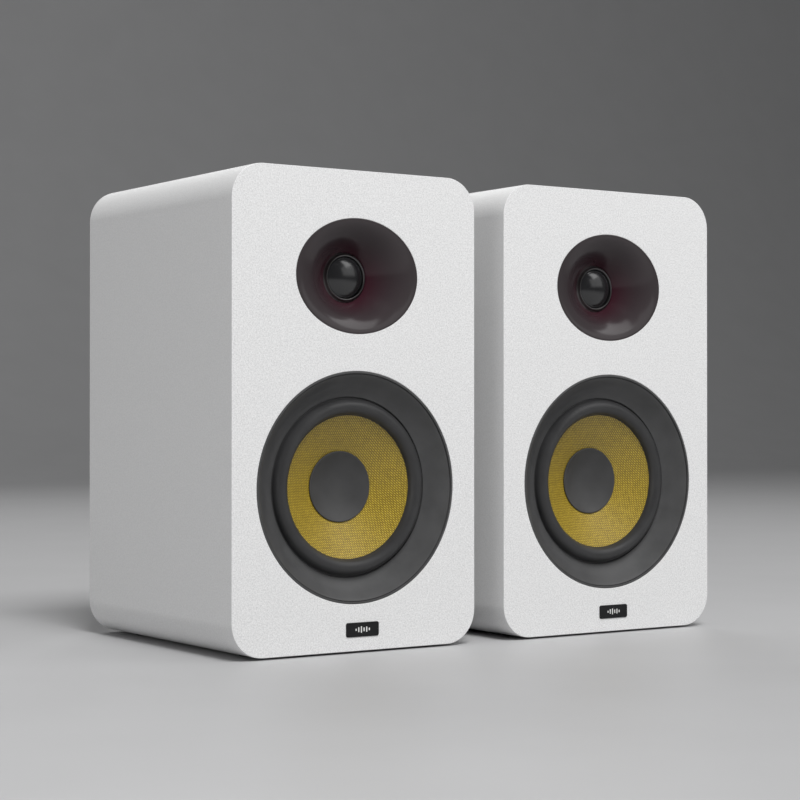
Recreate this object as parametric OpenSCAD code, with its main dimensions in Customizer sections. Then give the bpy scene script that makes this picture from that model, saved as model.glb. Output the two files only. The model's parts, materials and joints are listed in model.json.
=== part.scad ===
// A pair of two-way desktop loudspeakers: a powered left speaker and its passive right partner.
// Millimetres, +Z up, fronts face -Y. X = 0 lies midway between the cabinets, Z = 0 is the desk.
// Each part is drawn in its own speaker's frame: X = 0 at the cabinet's centre line, Y = 0 at the
// front face with Y growing towards the back, and Z = 0 at the desk.

/* [Cabinet] */
// Width of each cabinet
cabinet_w = 192; // [180:1:210]
// Height of each cabinet, without its feet
cabinet_h = 320; // [312:1:340]
// Depth of each cabinet, from the front face to the rear edge
cabinet_d = 211; // [205:1:240]
// Radius of the cabinet's four long edges
corner_r = 23; // [18:1:28]
// Thickness of the cabinet's wrapped wall
wall_t = 12; // [10:1:14]
// Thickness of the front baffle
baffle_t = 18; // [18:1:20]
// Thickness of the back board
back_t = 12; // [10:1:14]
// How far the back board sits inside the rear edge
back_inset = 1.5; // [1:0.5:3]
// Centre distance between the two speakers at rest
speaker_spacing = 217.5; // [215:0.5:260]
// Height of the feet
foot_h = 1.5; // [1.5:0.5:3]
// Radius of each foot
foot_r = 9; // [7:1:11]

/* [Woofer] */
// Height of the woofer's axis above the cabinet's underside
woofer_z = 108.7; // [106:0.1:112]
// Outer radius of the trim ring
trim_r = 77.5; // [76.5:0.5:78.5]
// Inner radius of the trim ring
trim_inner_r = 60.4; // [60:0.1:60.6]
// Depth of the trim ring's inner edge below the front face
trim_depth = 11.3; // [11:0.1:11.5]
// Radius where the cone's rim meets the surround
cone_rim_r = 48.2; // [47.5:0.1:48.4]
// Depth of the cone's rim below the front face
cone_rim_y = 12; // [11.8:0.1:12.2]
// How far the surround's roll rises in front of its feet
roll_rise = 6.3; // [5.5:0.1:6.6]
// Radius of the dust cap
cap_r = 24; // [22:0.5:26]
// Radius of the voice coil's former, inside
coil_r = 12.9; // [12.8:0.1:13]
// Travel of the cone each way
cone_travel = 4; // [2:0.5:4]

/* [Tweeter] */
// Height of the tweeter's axis above the cabinet's underside
tweeter_z = 249.5; // [248:0.5:254]
// Half width of the waveguide's oval mouth
mouth_a = 47.2; // [46:0.1:48]
// Half height of the waveguide's oval mouth
mouth_b = 37.8; // [37:0.1:38.5]
// Radius of the waveguide's round throat
throat_r = 16.8; // [16.6:0.1:17]
// Depth of the throat below the front face
throat_y = 17; // [16:0.5:17]
// Radius of the tweeter's dome with its suspension
dome_r = 13.6; // [13.4:0.1:13.7]

/* [Badge] */
// Width of the plain badge
badge_w = 26; // [20:1:30]
// Height of the plain badge
badge_h = 9.6; // [8:0.2:11]
// Height of the badge's centre above the cabinet's underside
badge_z = 14.2; // [12:0.1:17]
// How far the badge sits to the right of the centre line
badge_x = 3.5; // [0:0.5:5]
// How far the badge stands out of the front face
badge_proud = 0.6; // [0.4:0.1:1]

/* [Port] */
// Inner radius of the bass port
port_r = 20; // [18:1:22]
// Length of the bass port's tube
port_len = 110; // [90:5:120]
// Height of the port's axis above the cabinet's underside
port_z = 268; // [266:1:272]

/* [Amplifier panel] */
// Width of the amplifier plate
plate_w = 132; // [130:1:140]
// Height of the amplifier plate
plate_h = 196; // [194:1:204]
// Thickness of the amplifier plate
plate_t = 2.5; // [2:0.5:3]
// Height of the amplifier plate's centre above the cabinet's underside
plate_z = 122; // [120:1:126]
// Radius of the volume knob
volume_r = 14; // [12:0.5:16]
// Radius of the bass and treble knobs
tone_r = 9; // [8:0.5:10]
// How far the power rocker tips between off and on, in degrees
rocker_throw = 20; // [16:1:24]

/* [Terminals] */
// Width of the passive speaker's terminal plate
cup_w = 84; // [80:1:100]
// Height of the passive speaker's terminal plate
cup_h = 66; // [62:1:80]
// Distance between the red and the black post, the usual 19 mm of a twin banana plug
post_pitch = 19.05; // [19.05:0.05:20]
// Radius of the bore that takes a banana plug
banana_r = 2.05; // [2:0.01:2.1]
// Radius of the post inside its nut
post_r = 3.4; // [3.3:0.1:3.5]

/* [Hidden] */
SHARED = ["cabinet", "baffle", "back_board", "feet", "damping_pad", "port_tube", "badge",
    "trim_ring", "woofer_basket", "woofer_surround", "woofer_cone", "dust_cap", "voice_coil",
    "woofer_spider", "woofer_top_plate", "woofer_magnet", "woofer_yoke", "waveguide",
    "tweeter_bezel", "tweeter_dome", "tweeter_motor", "screws", "terminal_posts",
    "terminal_nut_red", "terminal_nut_black"];

$fn = 96;
eps = 0.01;                 // how far a cutting solid runs past the face that it opens
fit = 0.1;                  // clearance of an inlaid part in its rebate
run_fit = 0.05;             // radial clearance of a shaft in its bore

// Heights above the desk
bottom_z = foot_h;
woofer_h = bottom_z + woofer_z;
tweeter_h = bottom_z + tweeter_z;
port_h = bottom_z + port_z;
plate_h0 = bottom_z + plate_z;

// Depths behind the front face
back_y = cabinet_d - back_inset;        // rear face of the back board
back_front_y = back_y - back_t;         // front face of the back board
panel_y = back_y + plate_t;             // rear face of the amplifier plate
cup_t = 4;                              // thickness of the passive speaker's terminal plate
panel_lap = 12;                         // how far the rear panels lap onto the back board
opening_r = 4;                          // corner radius of the openings behind them
panel_screw_inset = 6;                  // from a rear panel's edges to its screws
post_len = 17;                          // how far a post stands out of its panel
rear_reach = back_y + max(plate_t, cup_t) + post_len - cabinet_d;
front_y = -(cabinet_d + rear_reach - badge_proud) / 2;

// Cabinet
inner_w = cabinet_w - 2 * wall_t;
inner_h = cabinet_h - 2 * wall_t;
inner_r = corner_r - wall_t;
centre_h = bottom_z + cabinet_h / 2;
foot_inset_x = 32;                      // from the cabinet's sides to the feet's axes
foot_inset_y = 30;                      // and from its front and rear faces
badge_seat = 1;                         // depth of the badge's recess
badge_corner_r = 1.2;
port_wall = 2.6;
port_hole_r = port_r + port_wall + 0.6; // through the back board

// Woofer, as depths behind the front face
lip_t = 1;                              // surround's flat lips
cone_t = 0.9;
cone_slope = 0.477;                     // depth gained per millimetre towards the axis
trim_edge_t = 0.9;                      // thickness of the trim ring at its inner edge
flange_y = trim_depth + trim_edge_t + lip_t; // front face of the basket's flange
flange_t = 2;
flange_r = 75.5;
basket_hole_r = 64;                     // through the baffle, behind the rebate
roll_outer_r = 59.3;
roll_inner_r = 48.4;
cone_lip_w = 1.2;                       // flat rim of the cone, under the surround
ledge_y = 37;                           // basket's ledge for the spider
ledge_r = 34.5;                         // inner edge of that ledge
top_plate_y = 48.5;
top_plate_t = 6;
magnet_t = 16;
yoke_t = 6;
magnet_r = 45;
plate_r = 40;
magnet_y = top_plate_y + top_plate_t;
yoke_y = magnet_y + magnet_t;
pole_r = coil_r - 0.5;
coil_wall = 0.35;
winding_t = 0.6;
gap_r = coil_r + coil_wall + winding_t + 0.5;
cap_y = cone_depth(cap_r) - 0.9;        // rim of the dust cap
cap_dish = 6.4;                         // how far its middle sits behind its rim

// Woofer flange screws
driver_screw_r = 70;
driver_screws = [45, 135, 225, 315];

// Tweeter
guide_wall = 0.8;                       // rim of the waveguide, seen edge on
skin_t = 2.6;                           // horn skin
guide_flange_y = baffle_t;
guide_flange_t = 3;
guide_flange_w = 9;                     // how far its flange laps behind the baffle
guide_screws = [for (x = [-40, 40], z = [-30, 30]) [x, z]];
guide_pilot_y = 8;                      // where the baffle's holes for them end
guide_steps = 9;
guide_fn = 64;

// Screws
screw_r = 1.7;
screw_hole_r = 1.8;
screw_head_r = 3.6;
screw_head_h = 2.2;
screw_len = 11;
screw_tip = 2;

// Rear panel layout: x seen from the front, z above the panel's centre
volume_at = [0, 62];
bass_at = [34, 62];
treble_at = [-34, 62];
line_at = [-36, 14];
line_pitch = 16;
aux_at = [-36, -14];
left_posts_at = [34, 6];
inlet_at = [-16, -62];
rocker_at = [34, -62];
right_posts_at = [0, 0];
cup_z = 108;

// Controls
shaft_r = 3;
shaft_depth = 8.5;                      // how far a knob's shaft reaches behind the plate
shaft_hole_r = 3.4;
pot_r = 8.5;
board_y = back_front_y - 10;            // front face of the amplifier's circuit board
board_t = 1.6;
knob_gap = 0.8;                         // between a knob and the plate
volume_len = 14;
tone_len = 12;
jack_r = 4.15;
jack_len = 9;
aux_r = 1.8;
aux_barrel_r = 4;
aux_depth = 15.5;
collar_t = 1.2;                         // flange of a socket on its plate

// Binding posts
post_root_r = 4.8;                      // inside the panel
post_collar_r = 6.6;
post_collar_t = 1.4;
post_root = 8;                          // how far the powered speaker's posts reach inwards
nut_gap = 0.4;                          // between a nut and its post's collar
nut_len = 14;
nut_r = 7.2;

// Mains inlet with its switch, one moulding
inlet_w = 30;
inlet_h = 24;
inlet_mouth_w = 24.4;
inlet_mouth_h = 16.6;
inlet_depth = 17;
rocker_w = 13;
rocker_h = 19;
rocker_pin_r = 1.5;
rocker_pin_y = panel_y - 1.5;           // rocker's axis
well_w = rocker_w + 1;
well_h = rocker_h + 2.4;
well_depth = 11;
well_wall = 2;

// Where each speaker stands
module left() translate([-speaker_spacing / 2, front_y, 0]) children();
module right() translate([speaker_spacing / 2, front_y, 0]) children();

// Turns a profile drawn as [radius, depth] about an axis that runs from front to back
module lathe(axis_z) translate([0, 0, axis_z]) rotate([-90, 0, 0]) rotate_extrude() children();

// A straight round bar from depth y0 to y1
module bar(r, y0, y1, at = [0, 0], r2 = undef)
    translate([at[0], y0, at[1]]) rotate([-90, 0, 0])
        cylinder(h = y1 - y0, r1 = r, r2 = is_undef(r2) ? r : r2);

// A ring of rectangular section, from depth y0 to y1
module ring(r_in, r_out, y0, y1, axis_z)
    lathe(axis_z) translate([r_in, y0]) square([r_out - r_in, y1 - y0]);

// A plate with rounded corners, upright, from depth y0 to y1, centred at height z
module plate(w, h, r, y0, y1, z)
    translate([0, y1, z]) rotate([90, 0, 0]) linear_extrude(y1 - y0) rounded(w, h, r);

module rounded(w, h, r) {
    square([w - 2 * r, h], center = true);
    square([w, h - 2 * r], center = true);
    for (x = [-1, 1], y = [-1, 1]) translate([x * (w / 2 - r), y * (h / 2 - r)]) circle(r);
}

// A block between two corners
module block(low, high) translate(low) cube(high - low);

// Points along an arc, angles in degrees
function arc(c, r, a0, a1, n) =
    [for (i = [0:n]) let (a = a0 + (a1 - a0) * i / n) [c[0] + r * cos(a), c[1] + r * sin(a)]];

// Points of an upright oval
function oval(a, b, n) = [for (i = [0:n - 1]) [a * cos(360 * i / n), b * sin(360 * i / n)]];

// Cabinet

module cabinet() color("gainsboro") difference() {
    plate(cabinet_w, cabinet_h, corner_r, baffle_t, cabinet_d, centre_h);
    plate(inner_w, inner_h, inner_r, baffle_t - 1, cabinet_d + 1, centre_h);
}

module baffle() color("whitesmoke") difference() {
    plate(cabinet_w, cabinet_h, corner_r, 0, baffle_t, centre_h);
    bar(trim_r + fit, -1, flange_y + flange_t, [0, woofer_h]);
    bar(basket_hole_r, -1, baffle_t + 1, [0, woofer_h]);
    for (a = driver_screws)
        bar(screw_r, flange_y, baffle_t + 1, driver_screw_at(a));
    translate([0, baffle_t + 1, tweeter_h]) rotate([90, 0, 0]) linear_extrude(baffle_t + 2)
        polygon(oval(mouth_a + guide_wall + fit, mouth_b + guide_wall + fit, guide_fn));
    for (p = guide_screws)
        bar(screw_r, guide_pilot_y, baffle_t + 1, [p[0], tweeter_h + p[1]]);
    block([badge_x - badge_w / 2 - fit, -1, bottom_z + badge_z - badge_h / 2 - fit],
          [badge_x + badge_w / 2 + fit, badge_seat, bottom_z + badge_z + badge_h / 2 + fit]);
}

// The powered speaker's back board opens behind its amplifier, the passive one's behind its terminals
module back_board(opening_w, opening_h, opening_z, screws) color("dimgray") difference() {
    plate(inner_w, inner_h, inner_r, back_front_y, back_y, centre_h);
    bar(port_hole_r, back_front_y - 1, back_y + 1, [0, port_h]);
    plate(opening_w, opening_h, opening_r, back_front_y - 1, back_y + 1, opening_z);
    for (p = screws) bar(screw_r, back_front_y - 1, back_y + 1, p);
}

module feet() color("black")
    for (x = [-1, 1], y = [foot_inset_y, cabinet_d - foot_inset_y])
        translate([x * (cabinet_w / 2 - foot_inset_x), y, 0]) rotate_extrude() {
            edge = 0.8;
            polygon([[0, 0], [foot_r - edge, 0], [foot_r, edge], [foot_r, foot_h], [0, foot_h]]);
        }

module badge() color("black")
    translate([badge_x, badge_seat, bottom_z + badge_z]) rotate([90, 0, 0])
        linear_extrude(badge_seat + badge_proud) rounded(badge_w, badge_h, badge_corner_r);

// Wadding that lines one side wall
module damping_pad() color("white") {
    pad_t = 16;
    pad_h = 170;
    z0 = bottom_z + wall_t + 20;
    block([-inner_w / 2, 45, z0], [-inner_w / 2 + pad_t, back_front_y - 20, z0 + pad_h]);
}

// Rear bass port: a flared rim on a tube with a plain inner end
module port_tube() color("black") lathe(port_h) {
    flare = 8;
    rim_w = 3;                          // flat rim around the flare
    rim_y = back_y + 2.5;
    rim_r = port_r + flare + rim_w;
    polygon(concat(
        [[port_r, rim_y - port_len]],
        arc([port_r + flare, rim_y - flare], flare, 180, 90, 10),
        [[rim_r - 0.5, rim_y - 0.6], [rim_r, rim_y - 1.6], [rim_r, back_y],
         [port_r + port_wall, back_y], [port_r + port_wall, rim_y - port_len]]));
}

// Woofer

function driver_screw_at(a) = [driver_screw_r * cos(a), woofer_h + driver_screw_r * sin(a)];

// Depth of the trim ring's dished face at radius r: a small step down from its lip, then a slope
// that is steepest in its outer half
trim_step = 0.8;
trim_lip_w = 1.4;
trim_groove_w = 0.5;
trim_face_r = trim_r - trim_lip_w - trim_groove_w;
function ease(s) = s * s * (3 - 2 * s);
function trim_face(r) =
    let (t = max(0, (trim_face_r - r) / (trim_face_r - trim_inner_r)))
    trim_step + (trim_depth - trim_step) * (0.25 * t + 0.75 * ease(pow(t, 0.7)));

module trim_ring() color("#2b2b2d") lathe(woofer_h) {
    groove = 1.3;                       // depth of the groove inside the lip
    back = flange_y - lip_t;
    land_r = 65;                        // its back rests on the surround's lip inside this radius
    wall_r = 73.8;                      // and on the basket's flange outside this one
    skin = 2.4;
    steps = 20;
    polygon(concat(
        [[trim_r - 0.6, 0], [trim_face_r + trim_groove_w, 0], [trim_face_r + trim_groove_w, groove],
         [trim_face_r, groove]],
        [for (i = [0:steps]) let (r = trim_face_r - (trim_face_r - trim_inner_r) * i / steps)
            [r, trim_face(r)]],
        [[trim_inner_r, back], [land_r, back], [land_r, trim_face(land_r) + skin],
         [land_r + 2, trim_face(land_r + 2) + skin], [wall_r - 0.6, trim_face(wall_r) + skin],
         [wall_r, flange_y], [trim_r, flange_y], [trim_r, 0.6]]));
}

// Stamped basket: flange, six ribs, a ledge for the spider and a pot that carries the motor
module woofer_basket() color("#303030") difference() {
    shell = 1.8;
    wide_in_r = roll_outer_r - 0.6;     // where the frame leaves the flange, inside and outside
    wide_out_r = basket_hole_r - 2;
    narrow_in_r = 39.8;                 // and where it meets the ledge
    narrow_out_r = 42.5;
    window_w = 24;
    lathe(woofer_h)
        polygon([[wide_in_r, flange_y], [flange_r, flange_y],
            [flange_r, flange_y + flange_t], [wide_out_r, flange_y + flange_t],
            [narrow_out_r, ledge_y], [plate_r, ledge_y + 2], [plate_r, top_plate_y],
            [gap_r + 3, top_plate_y], [gap_r + 3, top_plate_y - shell],
            [plate_r - shell, top_plate_y - shell], [plate_r - shell, ledge_y + 2],
            [ledge_r, ledge_y + 2], [ledge_r, ledge_y], [narrow_in_r, ledge_y],
            [wide_in_r, flange_y + flange_t + 1]]);
    for (a = [0:60:300]) translate([0, 0, woofer_h]) rotate([0, a, 0])
        block([ledge_r + 1.5, flange_y + flange_t + 3, -window_w / 2],
              [flange_r, ledge_y - 3, window_w / 2]);
    for (a = driver_screws)
        bar(screw_hole_r, flange_y - 1, flange_y + flange_t + 1, driver_screw_at(a));
}

// Half-roll rubber surround, glued to the flange outside and to the cone inside
module woofer_surround() color("#232323") lathe(woofer_h) {
    t = 0.9;
    foot_r_out = 64.5;                  // outer edge of its glued foot
    mid = (roll_outer_r + roll_inner_r) / 2;
    half = (roll_outer_r - roll_inner_r) / 2;
    y_out = flange_y - lip_t;
    y_in = cone_rim_y - lip_t;
    y_mid = (y_out + y_in) / 2 + lip_t;
    polygon(concat(
        [[foot_r_out, y_out], [foot_r_out, flange_y], [roll_outer_r - t, flange_y]],
        [for (i = [1:11]) let (a = 180 * i / 12)
            [mid + (half - t) * cos(a), y_mid - (roll_rise - t) * sin(a)]],
        [[mid - half + t, cone_rim_y], [cone_rim_r, cone_rim_y], [cone_rim_r, y_in]],
        [for (i = [1:15]) let (a = 180 - 180 * i / 16)
            [mid + half * cos(a), y_mid - roll_rise * sin(a)]],
        [[roll_outer_r + 0.2, y_out]]));
}

// The cone is straight-sided, rim to voice coil
function cone_depth(r) = cone_rim_y + (cone_rim_r - r) * cone_slope;

module woofer_cone() color("#c9a13a") lathe(woofer_h) {
    neck = coil_r + coil_wall;
    polygon([[cone_rim_r + cone_lip_w, cone_rim_y], [cone_rim_r + cone_lip_w, cone_rim_y + cone_t],
        [cone_rim_r, cone_rim_y + cone_t], [neck, cone_depth(neck) + cone_t],
        [neck, cone_depth(neck)], [cone_rim_r, cone_rim_y]]);
}

// Dished dust cap, closed over the voice coil
module dust_cap() color("#3a3a3c") lathe(woofer_h) {
    t = 0.7;
    n = 12;
    dish_r = cap_r - 1;
    dish = [for (i = [0:n]) let (r = dish_r * i / n)
        [r, cap_y + cap_dish * (1 - pow(r / dish_r, 2))]];
    polygon(concat(dish, [[cap_r - 0.4, cap_y - 0.2], [cap_r, cap_y + 0.15],
        [cap_r, cone_depth(cap_r)], [cap_r - 0.8, cone_depth(cap_r - 0.8)]],
        [for (i = [n:-1:0]) [dish[i][0] * 0.97, dish[i][1] + t]]));
}

// Former with its winding, centred on the top plate's gap
module voice_coil() color("#b87333") lathe(woofer_h) {
    neck_y = cone_depth(coil_r + coil_wall);
    wind = [top_plate_y - cone_travel, magnet_y + cone_travel];
    r0 = coil_r;
    r1 = coil_r + coil_wall;
    r2 = r1 + winding_t;
    polygon([[r0, neck_y], [r1, neck_y], [r1, wind[0]], [r2, wind[0]],
        [r2, wind[1]], [r0, wind[1]]]);
}

// Corrugated spider between the former and the basket's ledge
module woofer_spider() color("#c8b58a") lathe(woofer_h) {
    t = 0.6;
    r0 = coil_r + coil_wall;
    rim_r = ledge_r + 4.5;              // outer edge, glued to the ledge
    waves = 4;
    wave_h = 1.1;
    n = 48;
    y0 = ledge_y - t;
    wave = [for (i = [0:n]) let (u = i / n)
        [r0 + (ledge_r - r0) * u, y0 + wave_h * sin(360 * waves * u) * sin(180 * u)]];
    polygon(concat(wave, [[rim_r, y0], [rim_r, y0 + t]],
        [for (i = [n:-1:0]) [wave[i][0], wave[i][1] + t]]));
}

module woofer_top_plate() color("silver")
    ring(gap_r, plate_r, top_plate_y, magnet_y, woofer_h);

module woofer_magnet() color("#444448")
    ring(gap_r + 4, magnet_r, magnet_y, yoke_y, woofer_h);

// Back plate and pole in one piece
module woofer_yoke() color("silver") lathe(woofer_h)
    polygon([[0, top_plate_y], [pole_r, top_plate_y], [pole_r, yoke_y], [plate_r, yoke_y],
        [plate_r, yoke_y + yoke_t - 1], [plate_r - 1, yoke_y + yoke_t], [0, yoke_y + yoke_t]]);

// Tweeter

// One ring of the waveguide: s = 0 at the round throat, 1 at the oval mouth, d = offset outwards
function guide_ring(s, d, y) =
    let (a = throat_r + (mouth_a - throat_r) * s + d, b = throat_r + (mouth_b - throat_r) * s + d)
    [for (i = [0:guide_fn - 1])
        [a * cos(360 * i / guide_fn), y, b * sin(360 * i / guide_fn)]];

// Depth of the horn's face
function horn(s) = throat_y * pow(1 - s, 1.6);

// Horn, collar and rear flange as one closed skin, ring after ring
module waveguide() color("#3c1f26") translate([0, 0, tweeter_h]) difference() {
    back = guide_flange_y + guide_flange_t;
    s_back = 0.72;
    rings = concat(
        [for (i = [0:guide_steps]) let (s = 1 - i / guide_steps) guide_ring(s, 0, horn(s))],
        [guide_ring(0, 0, back), guide_ring(0, skin_t, back)],
        [for (i = [1:4]) let (s = s_back * i / 4)
            guide_ring(s, skin_t * 0.5, horn(s) + skin_t + 0.4)],
        [guide_ring(1, -1.6, horn(s_back) + skin_t + 1), guide_ring(1, -1.6, back),
         guide_ring(1, guide_flange_w, back), guide_ring(1, guide_flange_w, guide_flange_y),
         guide_ring(1, guide_wall, guide_flange_y), guide_ring(1, guide_wall, 0)]);
    n = guide_fn;
    m = len(rings);
    polyhedron(points = [for (g = rings, p = g) p],
        faces = [for (j = [0:m - 1], i = [0:n - 1], h = [0, 1])
            let (a = j * n + i, b = j * n + (i + 1) % n,
                 c = ((j + 1) % m) * n + (i + 1) % n, d = ((j + 1) % m) * n + i)
            h == 0 ? [a, c, b] : [a, d, c]]);
    for (p = guide_screws)
        bar(screw_hole_r, guide_flange_y - 1, back + 1, p);
}

// Raised ring around the dome
module tweeter_bezel() color("#55555a") lathe(tweeter_h) {
    r0 = dome_r + 0.45;                 // clear of the moving dome
    r1 = throat_r - fit;
    crest_y = throat_y - 2;
    back = guide_flange_y + guide_flange_t - fit;
    polygon([[r0, crest_y + 1.4], [r0 + 0.25, crest_y + 0.5], [r0 + 0.55, crest_y + 0.05],
        [r0 + 0.85, crest_y], [r0 + 1.15, crest_y + 0.3], [r0 + 1.85, crest_y + 1.3],
        [r1, throat_y], [r1, back], [r0, back]]);
}

// Dome with its own short voice coil
module tweeter_dome() color("#141416") lathe(tweeter_h) {
    rise = 4.4;
    base_y = throat_y - 0.8;
    coil_y = throat_y + 10;             // rear end of its coil
    t = 0.35;
    n = 10;
    sphere_r = (dome_r * dome_r + rise * rise) / (2 * rise);
    half = asin(dome_r / sphere_r);
    c = base_y - rise + sphere_r;
    polygon(concat(
        [for (i = [0:n]) let (a = half * i / n) [sphere_r * sin(a), c - sphere_r * cos(a)]],
        [[dome_r, coil_y], [dome_r - t, coil_y]],
        [for (i = [n:-1:0]) let (a = half * i / n)
            [(sphere_r - t) * sin(a), c - (sphere_r - t) * cos(a)]]));
}

// Cup magnet with the gap that the dome's coil works in
module tweeter_motor() color("#6a6a70") lathe(tweeter_h) {
    front = guide_flange_y + guide_flange_t;
    gap_in = dome_r - 1;
    gap_out = dome_r + 0.7;
    gap_depth = 12;
    can_r = 29;
    can_len = 23;
    edge = 2;
    polygon([[0, front], [gap_in, front], [gap_in, front + gap_depth],
        [gap_out, front + gap_depth], [gap_out, front], [can_r, front],
        [can_r, front + can_len - edge], [can_r - edge, front + can_len], [0, front + can_len]]);
}

// Fasteners

// Pan-head screw with a cross recess: its head on the face at depth y, driven towards dir
module screw(at, y, dir = 1) translate([at[0], y, at[1]]) rotate([-90 * dir, 0, 0]) difference() {
    recess_w = 4;
    recess_t = 0.9;
    recess_depth = 1.4;
    shank = screw_len - screw_tip;
    union() {
        translate([0, 0, -screw_head_h])
            cylinder(h = screw_head_h, r1 = screw_head_r * 0.8, r2 = screw_head_r);
        cylinder(h = shank, r = screw_r);
        translate([0, 0, shank]) cylinder(h = screw_tip, r1 = screw_r, r2 = 0.3);
    }
    for (a = [0, 90]) rotate(a) translate([-recess_w / 2, -recess_t / 2, -screw_head_h - 1])
        cube([recess_w, recess_t, recess_depth + 1]);
}

module speaker_screws(panel_screws, panel_face) color("#202022") {
    for (a = driver_screws) screw(driver_screw_at(a), flange_y);
    for (p = guide_screws)
        screw([p[0], tweeter_h + p[1]], guide_flange_y + guide_flange_t, -1);
    for (p = panel_screws) screw(p, panel_face, -1);
}

// Holes of the amplifier plate's eight screws, and of the terminal plate's four
amp_screw_x = plate_w / 2 - panel_screw_inset;
amp_screw_z = plate_h / 2 - panel_screw_inset;
amp_screws = [for (x = [-1, 1], z = [-amp_screw_z, -30, 30, amp_screw_z])
    [x * amp_screw_x, plate_h0 + z]];
cup_h0 = bottom_z + cup_z;
cup_screws = [for (x = [-1, 1], z = [-1, 1])
    [x * (cup_w / 2 - panel_screw_inset), cup_h0 + z * (cup_h / 2 - panel_screw_inset)]];

// Amplifier, in the left speaker

function on_panel(at) = [at[0], plate_h0 + at[1]];

module amp_plate() color("#2a2a2c") difference() {
    slack = 0.2;                        // around what passes through
    corner = 5;
    plate(plate_w, plate_h, corner, back_y, panel_y, plate_h0);
    for (p = amp_screws) bar(screw_hole_r, back_y - 1, panel_y + 1, p);
    for (at = [volume_at, bass_at, treble_at])
        bar(shaft_hole_r, back_y - 1, panel_y + 1, on_panel(at));
    for (z = [-1, 1])
        bar(jack_r + 1, back_y - 1, panel_y + 1, on_panel(line_at + [0, z * line_pitch / 2]));
    bar(aux_barrel_r + slack, back_y - 1, panel_y + 1, on_panel(aux_at));
    for (x = [-1, 1])
        bar(post_root_r + slack, back_y - 1, panel_y + 1, left_posts + [x * post_pitch / 2, 0]);
    inlet_outline(back_y - 1, panel_y + 1, fit);
}

// Outline of the inlet-and-switch moulding where it passes through the plate
module inlet_outline(y0, y1, grow) {
    x0 = inlet_at[0] - inlet_w / 2 - grow;
    x1 = rocker_at[0] + well_w / 2 + well_wall + grow;
    z0 = plate_h0 + inlet_at[1];
    block([x0, y0, z0 - inlet_h / 2 - grow], [x1, y1, z0 + inlet_h / 2 + grow]);
}

// Circuit board with its controls' housings, two capacitors, a heat sink and a transformer
module amp_board() color("darkgreen") difference() {
    low = [-50, -44];                   // the board's corners, from the panel's centre
    high = [50, 78];
    can_r = 8;
    can_len = 26;
    can_z = 36;
    sink_at = [6, 20];                  // lower left corners of the heat sink and transformer
    sink_size = [33, 32];
    sink_base = 5;
    fins = 6;
    fin_t = 3;
    fin_y = 24;                         // how far the fins reach in front of the board
    coil_at = [-44, -36];
    coil_size = [42, 40];
    coil_y = 34;
    back = board_y + board_t;
    union() {
        block([low[0], board_y, plate_h0 + low[1]], [high[0], back, plate_h0 + high[1]]);
        for (at = [volume_at, bass_at, treble_at])
            bar(pot_r, back - eps, back_y - 2, on_panel(at));
        for (x = [-30, -12])
            bar(can_r, board_y - can_len, board_y + eps, [x, plate_h0 + can_z]);
        block([sink_at[0], board_y - sink_base, plate_h0 + sink_at[1]],
              [sink_at[0] + sink_size[0], board_y + eps, plate_h0 + sink_at[1] + sink_size[1]]);
        for (i = [0:fins - 1])
            let (x = sink_at[0] + i * (sink_size[0] - fin_t) / (fins - 1))
                block([x, board_y - fin_y, plate_h0 + sink_at[1]],
                      [x + fin_t, board_y - sink_base + 1, plate_h0 + sink_at[1] + sink_size[1]]);
        block([coil_at[0], board_y - coil_y, plate_h0 + coil_at[1]],
              [coil_at[0] + coil_size[0], board_y + eps, plate_h0 + coil_at[1] + coil_size[1]]);
    }
    for (at = [volume_at, bass_at, treble_at])
        bar(shaft_r + run_fit, back_y - shaft_depth - 0.5, back_y, on_panel(at));
}

// A knob with its shaft: a ribbed skirt, a smooth cap of smaller radius and a notch as its pointer
module knob(at, r, len) {
    y0 = panel_y + knob_gap;
    ribs = 24;
    rib = 0.35;                         // half the height of a rib
    cap_len = 1.5;                      // how far the cap stands out of the skirt
    cap_r = r - 1.6;
    edge = 0.7;
    notch_w = 1;
    translate([on_panel(at)[0], 0, on_panel(at)[1]]) difference() {
        union() {
            bar(shaft_r, back_y - shaft_depth, y0 + 1);
            translate([0, y0 + len - cap_len, 0]) rotate([90, 0, 0]) linear_extrude(len - cap_len)
                polygon([for (i = [0:ribs * 6 - 1]) let (a = 60 * i / ribs)
                    (r - rib + rib * cos(ribs * a)) * [cos(a), sin(a)]]);
            bar(cap_r, y0 + 1, y0 + len - edge);
            bar(cap_r, y0 + len - edge, y0 + len, r2 = cap_r - edge);
        }
        block([-notch_w / 2, y0 + len - edge, r * 0.4], [notch_w / 2, y0 + len + 1, cap_r - 1.4]);
    }
}

module volume_knob() color("#1c1c1e") knob(volume_at, volume_r, volume_len);
module bass_knob() color("#1c1c1e") knob(bass_at, tone_r, tone_len);
module treble_knob() color("#1c1c1e") knob(treble_at, tone_r, tone_len);

// Two phono sockets and a mini-jack socket, one solid each
module line_jacks() color("gold") {
    pin_hole_r = 1.6;
    for (z = [-1, 1]) difference() {
        at = on_panel(line_at + [0, z * line_pitch / 2]);
        union() {
            bar(jack_r, back_y - 8, panel_y + jack_len, at);
            bar(jack_r + 2.2, panel_y, panel_y + collar_t, at);
        }
        bar(pin_hole_r, panel_y + 1, panel_y + jack_len + 1, at);
    }
    difference() {
        union() {
            bar(aux_barrel_r, panel_y - aux_depth, panel_y + collar_t + 0.4, on_panel(aux_at));
            bar(aux_barrel_r + 2, panel_y, panel_y + collar_t, on_panel(aux_at));
        }
        bar(aux_r, panel_y - aux_depth + 1.5, panel_y + 2, on_panel(aux_at));
    }
}

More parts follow.
